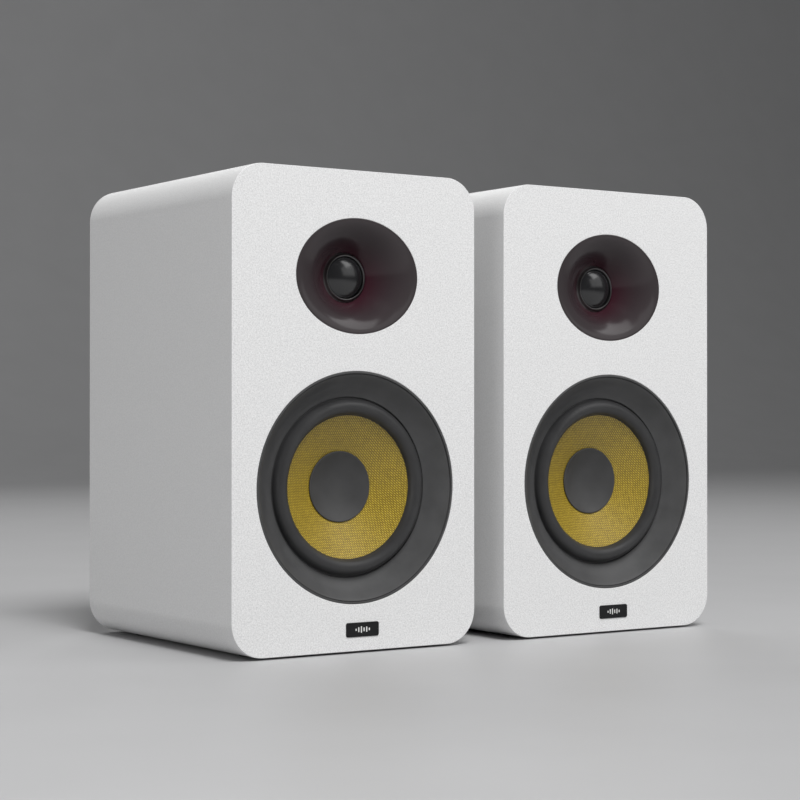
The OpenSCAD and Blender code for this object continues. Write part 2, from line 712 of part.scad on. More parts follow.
// One moulding: the mains socket's shroud with its three pins, and the switch's well beside it
module mains_inlet() color("#18181a") {
    z0 = plate_h0 + inlet_at[1];
    x0 = inlet_at[0];
    rim = 2;                            // how far its rim stands out of the plate
    floor_t = 4;
    pins = [[-7, 2], [7, 2], [0, -2]];
    pin_w = 2;
    pin_h = 4;
    mouth_y = panel_y + rim;
    difference() {
        union() {
            inlet_outline(mouth_y - inlet_depth - floor_t, mouth_y, 0);
            inlet_outline(panel_y, mouth_y, 2.5);
        }
        block([x0 - inlet_mouth_w / 2, mouth_y - inlet_depth, z0 - inlet_mouth_h / 2],
              [x0 + inlet_mouth_w / 2, mouth_y + 1, z0 + inlet_mouth_h / 2]);
        block([rocker_at[0] - well_w / 2, mouth_y - well_depth, z0 - well_h / 2],
              [rocker_at[0] + well_w / 2, mouth_y + 1, z0 + well_h / 2]);
        for (x = [-1, 1])
            translate([rocker_at[0] + x * (well_w / 2 - 0.1), rocker_pin_y, z0])
                rotate([0, x * 90, 0]) cylinder(h = 1.4, r = rocker_pin_r + run_fit);
    }
    for (p = pins)
        block([x0 + p[0] - pin_w / 2, mouth_y - inlet_depth - eps, z0 + p[1] - pin_h / 2],
              [x0 + p[0] + pin_w / 2, mouth_y - rim, z0 + p[1] + pin_h / 2]);
}

// See-saw switch on two stub pins, at rest in its off position
module power_rocker() color("#222224")
    translate([rocker_at[0], rocker_pin_y, plate_h0 + rocker_at[1]])
        rotate([-rocker_throw / 2, 0, 0]) {
            face = 4.6;                 // from its axis to the dip in its face
            dip = 1.5;
            belly = 3.2;                // and to its flat underside
            belly_h = 8;
            half_h = rocker_h / 2;
            rotate([0, 90, 0]) translate([0, 0, -well_w / 2 - 1])
                cylinder(h = well_w + 2, r = rocker_pin_r);
            translate([-rocker_w / 2, 0, 0]) rotate([90, 0, 90]) linear_extrude(rocker_w)
                polygon([[-belly, -belly_h / 2], [-belly, belly_h / 2], [0, half_h - 0.4],
                    [face + dip, half_h], [face, 0], [face + dip, -half_h], [0, -half_h + 0.4]]);
        }

// Terminals: the same pair of posts on either speaker, standing on the face at depth y

module terminal_posts(at, y, root_len) color("goldenrod")
    for (x = [-1, 1]) let (p = [at[0] + x * post_pitch / 2, at[1]]) difference() {
        union() {
            bar(post_root_r, y - root_len, y, p);
            bar(post_collar_r, y, y + post_collar_t, p);
            bar(post_r, y, y + post_len, p);
        }
        bar(banana_r, y - 1, y + post_len + 1, p);
    }

// Ribbed nut that clamps a bare wire; it turns on its post
module terminal_nut(at, y, x) translate([at[0] + x * post_pitch / 2, 0, at[1]]) difference() {
    y0 = y + post_collar_t + nut_gap;
    y1 = y0 + nut_len;
    edge = 1.2;
    groove_r = 0.7;
    lathe(0) polygon([[post_r + run_fit, y0], [nut_r - edge, y0], [nut_r, y0 + edge],
        [nut_r, y1 - edge], [nut_r - edge * 0.6, y1], [post_r + run_fit, y1]]);
    for (i = [0:11]) rotate([0, 30 * i, 0]) bar(groove_r, y0 + 2, y1 + 1, [0, nut_r + 0.3]);
}

left_posts = on_panel(left_posts_at);
right_posts = [right_posts_at[0], cup_h0 + right_posts_at[1]];
cup_y = back_y + cup_t;

module red_nut(at, y) color("firebrick") terminal_nut(at, y, -1);
module black_nut(at, y) color("#1a1a1a") terminal_nut(at, y, 1);

// Passive speaker's plate and its crossover
module terminal_plate() color("#1e1e20") difference() {
    corner = 6;
    plate(cup_w, cup_h, corner, back_y, cup_y, cup_h0);
    for (p = cup_screws) bar(screw_hole_r, back_y - 1, cup_y + 1, p);
    for (x = [-1, 1])
        bar(post_root_r + fit, back_y - 1, cup_y + 1, right_posts + [x * post_pitch / 2, 0]);
}

// Board with two coils, a capacitor and a resistor, standing off the back board
module crossover_board() color("peru") {
    w = 120;
    h = 48;
    t = 1.6;
    standoff = 4.4;
    coil_r0 = 5;
    coil_r1 = 14;
    coil_len = 14;
    z0 = bottom_z + wall_t + 8;
    y1 = back_front_y - standoff;       // rear and front faces of the board
    y0 = y1 - t;
    block([-w / 2, y0, z0], [w / 2, y1, z0 + h]);
    for (x = [-1, 1]) bar(3, y1 - eps, back_front_y, [x * (w / 2 - 6), z0 + h / 2]);
    for (x = [-34, 4]) difference() {
        bar(coil_r1, y0 - coil_len, y0 + eps, [x, z0 + h / 2]);
        bar(coil_r0, y0 - coil_len - 1, y0, [x, z0 + h / 2]);
    }
    block([26, y0 - 12, z0 + 8], [50, y0 + eps, z0 + 22]);
    block([26, y0 - 8, z0 + 28], [50, y0 + eps, z0 + 36]);
}

// Left speaker
left() cabinet();  // left_cabinet
left() baffle();  // left_baffle
left() back_board(plate_w - 2 * panel_lap, plate_h - 2 * panel_lap, plate_h0, amp_screws);  // left_back_board
left() feet();  // left_feet
left() damping_pad();  // left_damping_pad
left() port_tube();  // left_port_tube
left() badge();  // left_badge
left() trim_ring();  // left_trim_ring
left() woofer_basket();  // left_woofer_basket
left() woofer_surround();  // left_woofer_surround
left() woofer_cone();  // left_woofer_cone
left() dust_cap();  // left_dust_cap
left() voice_coil();  // left_voice_coil
left() woofer_spider();  // left_woofer_spider
left() woofer_top_plate();  // left_woofer_top_plate
left() woofer_magnet();  // left_woofer_magnet
left() woofer_yoke();  // left_woofer_yoke
left() waveguide();  // left_waveguide
left() tweeter_bezel();  // left_tweeter_bezel
left() tweeter_dome();  // left_tweeter_dome
left() tweeter_motor();  // left_tweeter_motor
left() speaker_screws(amp_screws, panel_y);  // left_screws
left() terminal_posts(left_posts, panel_y, post_root);  // left_terminal_posts
left() red_nut(left_posts, panel_y);  // left_terminal_nut_red
left() black_nut(left_posts, panel_y);  // left_terminal_nut_black
left() amp_plate();
left() amp_board();
left() volume_knob();
left() bass_knob();
left() treble_knob();
left() power_rocker();
left() mains_inlet();
left() line_jacks();

// Right speaker
right() cabinet();  // right_cabinet
right() baffle();  // right_baffle
right() back_board(cup_w - 2 * panel_lap, cup_h - 2 * panel_lap, cup_h0, cup_screws);  // right_back_board
right() feet();  // right_feet
right() damping_pad();  // right_damping_pad
right() port_tube();  // right_port_tube
right() badge();  // right_badge
right() trim_ring();  // right_trim_ring
right() woofer_basket();  // right_woofer_basket
right() woofer_surround();  // right_woofer_surround
right() woofer_cone();  // right_woofer_cone
right() dust_cap();  // right_dust_cap
right() voice_coil();  // right_voice_coil
right() woofer_spider();  // right_woofer_spider
right() woofer_top_plate();  // right_woofer_top_plate
right() woofer_magnet();  // right_woofer_magnet
right() woofer_yoke();  // right_woofer_yoke
right() waveguide();  // right_waveguide
right() tweeter_bezel();  // right_tweeter_bezel
right() tweeter_dome();  // right_tweeter_dome
right() tweeter_motor();  // right_tweeter_motor
right() speaker_screws(cup_screws, cup_y);  // right_screws
right() terminal_posts(right_posts, cup_y, cup_t + 6);  // right_terminal_posts
right() red_nut(right_posts, cup_y);  // right_terminal_nut_red
right() black_nut(right_posts, cup_y);  // right_terminal_nut_black
right() terminal_plate();
right() crossover_board();
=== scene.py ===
"""Looks for a pair of two-way desktop loudspeakers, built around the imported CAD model.

Metres, +Z up, fronts facing -Y. Drawn sizes are in millimetres times MM. Profiles of turned pieces are
lists of (radius, depth): the radius from the piece's axis, the depth behind the speaker's front face.
"""

import json
import math

import bmesh
import bpy
from mathutils import Euler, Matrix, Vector
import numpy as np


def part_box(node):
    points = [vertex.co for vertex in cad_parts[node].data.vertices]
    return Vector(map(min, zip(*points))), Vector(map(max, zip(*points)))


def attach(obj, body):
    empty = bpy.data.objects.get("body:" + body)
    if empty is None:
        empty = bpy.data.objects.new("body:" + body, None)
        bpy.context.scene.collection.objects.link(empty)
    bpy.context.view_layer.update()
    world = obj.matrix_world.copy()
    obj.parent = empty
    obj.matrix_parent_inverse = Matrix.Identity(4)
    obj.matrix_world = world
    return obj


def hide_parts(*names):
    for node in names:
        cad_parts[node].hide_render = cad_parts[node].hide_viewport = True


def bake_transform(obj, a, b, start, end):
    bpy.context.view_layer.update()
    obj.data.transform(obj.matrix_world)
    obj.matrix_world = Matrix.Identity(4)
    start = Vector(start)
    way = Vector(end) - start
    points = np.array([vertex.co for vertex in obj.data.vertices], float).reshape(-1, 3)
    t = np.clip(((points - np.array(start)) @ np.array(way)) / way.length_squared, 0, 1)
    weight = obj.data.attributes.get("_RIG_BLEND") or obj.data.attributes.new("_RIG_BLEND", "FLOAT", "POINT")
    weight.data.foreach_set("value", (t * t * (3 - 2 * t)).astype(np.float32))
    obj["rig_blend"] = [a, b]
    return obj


MM = 0.001
SIDES = ("left", "right")

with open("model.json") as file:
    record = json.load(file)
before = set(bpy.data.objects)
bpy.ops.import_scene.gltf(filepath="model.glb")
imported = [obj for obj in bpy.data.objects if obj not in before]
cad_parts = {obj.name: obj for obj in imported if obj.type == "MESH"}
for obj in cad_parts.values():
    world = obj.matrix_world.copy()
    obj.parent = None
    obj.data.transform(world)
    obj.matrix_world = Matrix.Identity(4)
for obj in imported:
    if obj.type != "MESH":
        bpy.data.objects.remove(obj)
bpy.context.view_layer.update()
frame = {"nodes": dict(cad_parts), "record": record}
nodes = frame["nodes"]


# ---------------------------------------------------------------- places, read from the frame

def middle(node):
    """The middle of a CAD node's box."""
    low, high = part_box(node)
    return (low + high) / 2


def half_size(node):
    """Half the size of a CAD node's box."""
    low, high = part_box(node)
    return (high - low) / 2


FRONT_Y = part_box("left_baffle")[0].y
BAFFLE_BACK_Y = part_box("left_baffle")[1].y
REAR_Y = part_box("left_cabinet")[1].y
PANEL_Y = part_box("amp_plate")[1].y
CORNER_R = 23 * MM
WALL = 12 * MM
EDGE = 0.5 * MM
HORN_DEPTH = 17 * MM
WELD = 1e-6
ON_AXIS = 1e-7


# ---------------------------------------------------------------- materials

class Paint:
    """One material's nodes, with short ways to add the usual detail."""

    def __init__(self, name, base, roughness, metallic=0.0, specular=0.5):
        self.material = bpy.data.materials.new(name)
        self.material.use_nodes = True
        self.tree = self.material.node_tree
        self.shader = self.tree.nodes["Principled BSDF"]
        self.base = base
        self.set("Base Color", (*base, 1))
        self.set("Roughness", roughness)
        self.set("Metallic", metallic)
        self.set("Specular IOR Level", specular)
        self.material.diffuse_color = (*base, 1)
        self.place = self.add("ShaderNodeTexCoord").outputs["Object"]
        self.normal = None

    def add(self, kind, **values):
        node = self.tree.nodes.new(kind)
        for key, value in values.items():
            if hasattr(node, key):
                setattr(node, key, value)
            else:
                node.inputs[key.replace("_", " ")].default_value = value
        return node

    def link(self, out, socket):
        self.tree.links.new(out, socket)

    def set(self, socket, value):
        self.shader.inputs[socket].default_value = value

    def math(self, operation, *values):
        node = self.add("ShaderNodeMath", operation=operation)
        for i, value in enumerate(values):
            if isinstance(value, (int, float)):
                node.inputs[i].default_value = value
            else:
                self.link(value, node.inputs[i])
        return node.outputs[0]

    def noise(self, size, detail=3.0, stretch=None):
        """Noise whose grains are about size metres across; stretch draws it out along an axis."""
        node = self.add("ShaderNodeTexNoise", Detail=detail)
        node.inputs["Scale"].default_value = 1 / size
        source = self.place
        if stretch:
            mapping = self.add("ShaderNodeMapping")
            mapping.inputs["Scale"].default_value = stretch
            self.link(source, mapping.inputs["Vector"])
            source = mapping.outputs[0]
        self.link(source, node.inputs["Vector"])
        return node.outputs[0]

    def ramp(self, value, stops):
        """A colour ramp through [(position, grey or colour), ...]."""
        node = self.add("ShaderNodeValToRGB")
        elements = node.color_ramp.elements
        while len(elements) < len(stops):
            elements.new(0.5)
        for element, (position, colour) in zip(elements, stops):
            element.position = position
            grey = isinstance(colour, (int, float))
            element.color = (colour, colour, colour, 1) if grey else (*colour, 1)
        self.link(value, node.inputs[0])
        return node.outputs[0]

    def tint(self, value, low, high):
        """Base colour that runs from low to high times its own as value goes from 0.3 to 0.7."""
        dark = tuple(c * low for c in self.base)
        pale = tuple(min(1.0, c * high) for c in self.base)
        self.link(self.ramp(value, [(0.3, dark), (0.7, pale)]), self.shader.inputs["Base Color"])

    def roughen(self, value, low, high):
        """Roughness that follows value between low and high."""
        node = self.add("ShaderNodeMapRange")
        node.inputs["From Min"].default_value = 0.3
        node.inputs["From Max"].default_value = 0.7
        node.inputs["To Min"].default_value = low
        node.inputs["To Max"].default_value = high
        self.link(value, node.inputs["Value"])
        self.link(node.outputs[0], self.shader.inputs["Roughness"])

    def bump(self, value, depth, strength=1.0):
        """Relief of about depth metres; several add up."""
        node = self.add("ShaderNodeBump")
        node.inputs["Strength"].default_value = strength
        node.inputs["Distance"].default_value = depth
        self.link(value, node.inputs["Height"])
        if self.normal:
            self.link(self.normal, node.inputs["Normal"])
        self.normal = node.outputs[0]
        self.link(self.normal, self.shader.inputs["Normal"])


def plastic(name, base, roughness, grain=0.35 * MM, depth=0.02 * MM, spread=0.05, tint=0.12,
            metallic=0.0, specular=0.5):
    """A moulded, painted or plated finish: fine grain, and slow changes of tone and gloss."""
    paint = Paint(name, base, roughness, metallic, specular)
    fine = paint.noise(grain, 2)
    slow = paint.noise(14 * MM, 4)
    paint.tint(slow, 1 - tint, 1 + tint)
    paint.roughen(slow, max(0.02, roughness - spread), min(1, roughness + spread))
    paint.bump(fine, depth)
    return paint.material


def stippled_white(name):
    """Matt white coating, pebbled all over and most of all on the front."""
    paint = Paint(name, (0.79, 0.79, 0.79), 0.6, specular=0.25)
    pebbles = paint.noise(1.0 * MM, 2)
    dust = paint.noise(0.45 * MM, 2)
    grain = paint.math("MULTIPLY_ADD", dust, 0.45, paint.math("MULTIPLY", pebbles, 0.55))
    facing = paint.add("ShaderNodeSeparateXYZ")
    paint.link(paint.add("ShaderNodeNewGeometry").outputs["Normal"], facing.inputs[0])
    forward = paint.math("MULTIPLY_ADD", paint.math("ABSOLUTE", facing.outputs["Y"]), 0.6, 0.4)
    swing = paint.math("MULTIPLY", paint.math("SUBTRACT", grain, 0.5), forward)
    paint.tint(paint.math("ADD", swing, 0.5), 0.76, 1.18)
    paint.roughen(paint.noise(30 * MM, 4), 0.55, 0.66)
    paint.bump(grain, 0.10 * MM, 0.8)
    return paint.material


def woven_cone_material():
    """Golden twill in clear resin: short slanting floats in level rows, with pinholes between them; the
    colour follows the weave's height, painting highlights on the raised floats and shade in the low gaps and
    pinholes.
    """
    paint = Paint("woven_cone", (0.50, 0.385, 0.05), 0.42, specular=0.8)
    threads_per_metre = 580
    drift = 1.3
    float_relief, thread_relief = 0.30, 0.11
    streaks, painted_light_contrast, darkening = 0.36, 0.95, -0.31
    wander = paint.math("MULTIPLY", paint.math("SUBTRACT", paint.noise(4 * MM, 4), 0.5), drift)
    split = paint.add("ShaderNodeSeparateXYZ")
    paint.link(paint.place, split.inputs[0])
    warp = paint.math("ADD", paint.math("MULTIPLY", split.outputs["X"], threads_per_metre), wander)
    weft = paint.math("SUBTRACT", paint.math("MULTIPLY", split.outputs["Z"], threads_per_metre), wander)

    def wave(cycles):
        return paint.math("COSINE", paint.math("MULTIPLY", cycles, 2 * math.pi))

    floats = paint.math("MULTIPLY", wave(paint.math("ADD", warp, weft)), float_relief)
    rows = paint.math("MULTIPLY_ADD", wave(weft), thread_relief, floats)
    cells = paint.math("MULTIPLY_ADD", wave(warp), thread_relief, rows)
    height = paint.math("ADD", cells, 0.5)
    fibre = paint.noise(0.16 * MM, 2)
    slow = paint.noise(3 * MM, 3)
    # tone: the threads' own fibre and patch variation, plus painted highlight on raised floats and painted
    # shade in low gaps, from the weave's height
    shade = paint.math("MULTIPLY_ADD", paint.math("ADD", fibre, slow), streaks,
                       paint.math("MULTIPLY_ADD", height, painted_light_contrast, darkening))
    gold = paint.ramp(shade, [(0.10, (0.060, 0.038, 0.002)), (0.50, (0.27, 0.19, 0.012)),
                              (0.95, (0.62, 0.48, 0.06))])
    paint.link(gold, paint.shader.inputs["Base Color"])
    paint.set("Coat Weight", 0.35)
    paint.set("Coat Roughness", 0.36)
    paint.set("Coat Tint", (1.0, 0.86, 0.45, 1))
    paint.bump(height, 0.20 * MM, 0.9)
    paint.bump(fibre, 0.03 * MM, 0.6)
    return paint.material


def waveguide_material(rim_y, throat_y):
    """Glossy moulding, maroon down in the throat; the grey-brown towards its rim is a painted reflection of
    the pale surroundings, not the moulding's own colour.
    """
    paint = Paint("waveguide", (0.05, 0.03, 0.035), 0.2, specular=0.3)
    split = paint.add("ShaderNodeSeparateXYZ")
    paint.link(paint.place, split.inputs[0])
    reach = paint.add("ShaderNodeMapRange")
    reach.inputs["From Min"].default_value = rim_y
    reach.inputs["From Max"].default_value = throat_y
    paint.link(split.outputs["Y"], reach.inputs["Value"])
    # painted reflection: grey-brown at the rim end, fading into the moulding's own maroon at the throat end
    colour = paint.ramp(reach.outputs[0], [(0.0, (0.046, 0.039, 0.041)), (0.35, (0.036, 0.026, 0.029)),
                                           (1.0, (0.034, 0.008, 0.014))])
    paint.link(colour, paint.shader.inputs["Base Color"])
    paint.roughen(paint.noise(18 * MM, 3), 0.15, 0.19)
    paint.bump(paint.noise(0.5 * MM, 2), 0.003 * MM)
    return paint.material


def brushed(name, base, roughness, along):
    """Turned or brushed metal: scratches drawn out along an axis."""
    paint = Paint(name, base, roughness, metallic=1.0)
    stretch = [1.0, 1.0, 1.0]
    stretch[along] = 0.03
    lines = paint.noise(0.25 * MM, 3, stretch)
    paint.tint(lines, 0.85, 1.12)
    paint.roughen(lines, roughness - 0.08, roughness + 0.10)
    paint.bump(lines, 0.01 * MM)
    return paint.material


def cloth(name, base, pitch, depth):
    """Plain woven cloth, seen from the front."""
    paint = Paint(name, base, 0.8, specular=0.2)
    split = paint.add("ShaderNodeSeparateXYZ")
    paint.link(paint.place, split.inputs[0])
    waves = [paint.math("SINE", paint.math("MULTIPLY", split.outputs[axis], 2 * math.pi / pitch))
             for axis in ("X", "Z")]
    weave = paint.math("MULTIPLY_ADD", paint.math("MULTIPLY", *waves), 0.5, 0.5)
    paint.tint(weave, 0.75, 1.1)
    paint.bump(weave, depth)
    return paint.material


def fluffy(name, base):
    """Loose fibre wadding."""
    paint = Paint(name, base, 0.95, specular=0.1)
    fibres = paint.noise(1.2 * MM, 6, (1.0, 0.25, 0.4))
    clumps = paint.noise(12 * MM, 3)
    paint.tint(fibres, 0.8, 1.1)
    paint.bump(clumps, 2 * MM)
    paint.bump(fibres, 0.4 * MM)
    return paint.material


MATERIALS = {
    "cabinet_side": stippled_white("side_white"),
    "baffle_front": stippled_white("front_white"),
    "back_panel": plastic("back_paint", (0.030, 0.030, 0.032), 0.6, 0.9 * MM, 0.10 * MM),
    "foot_rubber": plastic("foot_rubber", (0.018, 0.018, 0.018), 0.8, 0.4 * MM, 0.03 * MM),
    "wadding": fluffy("wadding", (0.78, 0.77, 0.73)),
    "port_plastic": plastic("port_plastic", (0.018, 0.018, 0.020), 0.42, 0.4 * MM, 0.02 * MM),
    "badge_black": plastic("badge_black", (0.010, 0.010, 0.011), 0.5, 0.3 * MM, 0.010 * MM,
                           specular=0.3),
    "trim_plastic": plastic("trim_plastic", (0.068, 0.068, 0.069), 0.46, 0.35 * MM, 0.015 * MM, 0.04,
                            specular=0.4),
    "stamped_steel": plastic("stamped_steel", (0.025, 0.025, 0.025), 0.5, 0.5 * MM, 0.04 * MM),
    "surround_rubber": plastic("surround_rubber", (0.034, 0.034, 0.035), 0.45, 0.25 * MM,
                               0.010 * MM),
    "woven_cone": woven_cone_material(),
    "cap_plastic": plastic("cap_plastic", (0.056, 0.056, 0.057), 0.46, 0.25 * MM, 0.012 * MM, 0.04,
                           specular=0.35),
    "coil_copper": brushed("coil_copper", (0.62, 0.28, 0.12), 0.35, 0),
    "spider_cloth": cloth("spider_cloth", (0.50, 0.36, 0.15), 0.8 * MM, 0.15 * MM),
    "zinc_steel": brushed("zinc_steel", (0.62, 0.62, 0.60), 0.35, 0),
    "ferrite": plastic("ferrite", (0.045, 0.045, 0.048), 0.55, 0.6 * MM, 0.05 * MM),
    "waveguide_gloss": waveguide_material(FRONT_Y, FRONT_Y + HORN_DEPTH),
    "bezel_metal": brushed("bezel_metal", (0.16, 0.155, 0.155), 0.38, 1),
    "dome_gloss": plastic("dome_gloss", (0.012, 0.012, 0.013), 0.20, 0.6 * MM, 0.003 * MM, 0.03,
                          specular=0.8),
    "motor_steel": brushed("motor_steel", (0.35, 0.35, 0.36), 0.4, 2),
    "screw_black": plastic("screw_black", (0.02, 0.02, 0.021), 0.38, 0.3 * MM, 0.02 * MM, metallic=0.6),
    "gilt_brass": brushed("gilt_brass", (0.83, 0.60, 0.22), 0.22, 1),
    "nut_red": plastic("nut_red", (0.42, 0.018, 0.020), 0.28, 0.3 * MM, 0.01 * MM),
    "nut_black": plastic("nut_black", (0.016, 0.016, 0.016), 0.28, 0.3 * MM, 0.01 * MM),
    "amp_panel": plastic("amp_panel", (0.024, 0.024, 0.026), 0.5, 0.7 * MM, 0.08 * MM),
    "circuit_board": plastic("circuit_board", (0.02, 0.13, 0.05), 0.35, 0.8 * MM, 0.03 * MM, tint=0.3),
    "knob_plastic": plastic("knob_plastic", (0.018, 0.018, 0.019), 0.42, 0.35 * MM, 0.02 * MM),
    "rocker_plastic": plastic("rocker_plastic", (0.014, 0.014, 0.014), 0.25, 0.3 * MM, 0.008 * MM),
    "inlet_plastic": plastic("inlet_plastic", (0.016, 0.016, 0.017), 0.45, 0.4 * MM, 0.03 * MM),
    "terminal_plastic": plastic("terminal_plastic", (0.018, 0.018, 0.020), 0.42, 0.4 * MM, 0.03 * MM),
    "crossover_fibre": plastic("crossover_fibre", (0.30, 0.18, 0.07), 0.7, 0.8 * MM, 0.05 * MM),
}
MARK_WHITE = plastic("mark_white", (0.75, 0.75, 0.74), 0.5, 0.3 * MM, 0.005 * MM)
PIN_METAL = brushed("pin_metal", (0.70, 0.68, 0.62), 0.25, 1)


# ---------------------------------------------------------------- shapes

def make(name, verts, faces, slot, sharp=35):
    """A mesh object with outward normals, smooth except across sharp degrees."""
    mesh = bpy.data.meshes.new(name)
    mesh.from_pydata(verts, [], faces)
    bm = bmesh.new()
    bm.from_mesh(mesh)
    bmesh.ops.remove_doubles(bm, verts=bm.verts, dist=WELD)
    bmesh.ops.recalc_face_normals(bm, faces=bm.faces)
    bm.to_mesh(mesh)
    bm.free()
    mesh.shade_smooth()
    mesh.set_sharp_from_angle(angle=math.radians(sharp))
    obj = bpy.data.objects.new(name, mesh)
    bpy.context.scene.collection.objects.link(obj)
    obj.data.materials.append(MATERIALS[slot])
    return obj


def turned(name, profile, centre, slot, segments=192, sharp=35):
    """A closed profile of (radius, depth) turned about the line through centre that runs along Y."""
    verts, faces = [], []
    for k in range(segments):
        a = 2 * math.pi * k / segments
        for r, depth in profile:
            verts.append((centre.x + r * math.cos(a), centre.y + depth, centre.z + r * math.sin(a)))
    n = len(profile)
    for k in range(segments):
        for i in range(n):
            j = (i + 1) % n
            if profile[i][0] < ON_AXIS and profile[j][0] < ON_AXIS:
                continue
            m = (k + 1) % segments
            faces.append((k * n + i, k * n + j, m * n + j, m * n + i))
    return make(name, verts, faces, slot, sharp)


def arc(cx, cy, r, a0, a1, n):
    """Points on an arc, angles in degrees."""
    return [(cx + r * math.cos(math.radians(a0 + (a1 - a0) * i / n)),
             cy + r * math.sin(math.radians(a0 + (a1 - a0) * i / n))) for i in range(n + 1)]


def rounded_outline(centre, half_w, half_h, r, n=14):
    """A rounded rectangle in the XZ plane."""
    points = []
    for sx, sz, start in ((1, 1, 0), (-1, 1, 90), (-1, -1, 180), (1, -1, 270)):
        points += arc(centre.x + sx * (half_w - r), centre.z + sz * (half_h - r), r,
                      start, start + 90, n)
    return points


def oval_outline(centre, a, b, n=192):
    """An ellipse in the XZ plane."""
    return [(centre.x + a * math.cos(2 * math.pi * i / n), centre.z + b * math.sin(2 * math.pi * i / n))
            for i in range(n)]


def grown(loop, by):
    """An anticlockwise loop of (x, z) moved outwards by a distance, or inwards if it's negative."""
    out, n = [], len(loop)
    for i, (x, z) in enumerate(loop):
        (xa, za), (xb, zb) = loop[i - 1], loop[(i + 1) % n]
        length = math.hypot(xb - xa, zb - za) or 1.0
        out.append((x + (zb - za) / length * by, z - (xb - xa) / length * by))
    return out


def slab(name, loops, y0, y1, slot, edge=EDGE, back_edge=None):
    """A flat piece from y0 to y1 with rounded edges: loops[0] is its outline, the others are holes."""
    back_edge = edge if back_edge is None else back_edge
    steps = 3
    quarter = [math.radians(90 * k / steps) for k in range(steps + 1)]
    levels = [(edge * (1 - math.sin(a)), y0 + edge * (1 - math.cos(a))) for a in quarter]
    levels += [(back_edge * (1 - math.sin(a)), y1 - back_edge * (1 - math.cos(a)))
               for a in reversed(quarter)]
    levels = [level for i, level in enumerate(levels) if i == 0 or level != levels[i - 1]]
    bm = bmesh.new()
    caps = ([], [])
    for i, loop in enumerate(loops):
        sign = -1 if i == 0 else 1
        rings = [[bm.verts.new((x, y, z)) for x, z in (grown(loop, sign * inset) if inset else loop)]
                 for inset, y in levels]
        n = len(loop)
        for ring, following in zip(rings, rings[1:]):
            for j in range(n):
                k = (j + 1) % n
                bm.faces.new((ring[j], ring[k], following[k], following[j]))
        for cap, ring in zip(caps, (rings[0], rings[-1])):
            cap += [bm.edges.get((ring[j], ring[(j + 1) % n])) for j in range(n)]
    for edges in caps:
        bmesh.ops.triangle_fill(bm, use_beauty=True, use_dissolve=False, edges=edges)
    mesh = bpy.data.meshes.new(name)
    bm.to_mesh(mesh)
    bm.free()
    verts = [v.co.copy() for v in mesh.vertices]
    faces = [tuple(p.vertices) for p in mesh.polygons]
    bpy.data.meshes.remove(mesh)
    obj = make(name, verts, faces, slot)
    flatten(obj)
    return obj


def flatten(obj):
    """Keeps an object's flats looking flat beside its rounded edges."""
    weighted = obj.modifiers.new("flats", "WEIGHTED_NORMAL")
    weighted.keep_sharp = True
    weighted.weight = 100


def at_front(node):
    """A turning centre on a node's axis, at the depth of the front face."""
    c = middle(node)
    return Vector((c.x, FRONT_Y, c.z))


def scaled(profile):
    """A profile given in millimetres."""
    return [(r * MM, d * MM) for r, d in profile]


# ---------------------------------------------------------------- cabinet

def cabinet(side):
    """Stippled front panel with the two drivers' openings, and the sleeve behind it."""
    front_edge, rear_edge, ring_gap = 0.35 * MM, 0.8 * MM, 0.1 * MM
    body = f"{side}_speaker"
    c = middle(f"{side}_baffle")
    half = half_size(f"{side}_baffle")
    woofer = at_front(f"{side}_trim_ring")
    tweeter = at_front(f"{side}_waveguide")
    ring_r = half_size(f"{side}_trim_ring").x
    outline = rounded_outline(c, half.x, half.z, CORNER_R)
    front = slab(f"{side}_front_panel",
                 [outline, oval_outline(woofer, ring_r + ring_gap, ring_r + ring_gap),
                  oval_outline(tweeter, MOUTH_A + GUIDE_RIM, MOUTH_B + GUIDE_RIM)],
                 FRONT_Y, BAFFLE_BACK_Y, "baffle_front", front_edge, 0)
    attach(front, body)
    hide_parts(f"{side}_baffle")
    inner = rounded_outline(c, half.x - WALL, half.z - WALL, CORNER_R - WALL)
    shell = slab(f"{side}_shell", [outline, inner], BAFFLE_BACK_Y, REAR_Y, "cabinet_side", 0, rear_edge)
    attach(shell, body)
    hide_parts(f"{side}_cabinet")


def badge(side):
    """Black badge with a fine raised border and a row of plain white bars in place of lettering."""
    node = f"{side}_badge"
    c, half = middle(node), half_size(node)
    low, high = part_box(node)
    corner, sink, rim_outer, rim_inner = 1.5 * MM, 0.15 * MM, 0.2 * MM, 0.7 * MM
    bar_pitch, bar_half_width, bar_round = 2.1 * MM, 0.45 * MM, 0.4 * MM
    bar_front, bar_back = low.y + 0.03 * MM, low.y + 0.3 * MM
    bar_heights = (1.5, 3.4, 4.4, 2.6, 3.6, 1.9)
    plate = slab(f"{side}_badge_plate", [rounded_outline(c, half.x, half.z, corner)],
                 low.y + sink, high.y, "badge_black", 0.25 * MM)
    rim = slab(f"{side}_badge_rim",
               [rounded_outline(c, half.x - outer, half.z - outer, corner - outer)
                for outer in (rim_outer, rim_inner)],
               low.y, low.y + 0.4 * MM, "badge_black", 0.1 * MM)
    pieces = [plate, rim]
    for i, height in enumerate(bar_heights):
        at = Vector((c.x + (i - (len(bar_heights) - 1) / 2) * bar_pitch, 0, c.z))
        outline = rounded_outline(at, bar_half_width, height / 2 * MM, bar_round, 4)
        bar = slab(f"{side}_badge_bar_{i}", [outline], bar_front, bar_back, "badge_black", 0.05 * MM)
        bar.data.materials[0] = MARK_WHITE
        pieces.append(bar)
    for piece in pieces:
        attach(piece, f"{side}_speaker")
    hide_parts(node)


# ---------------------------------------------------------------- woofer

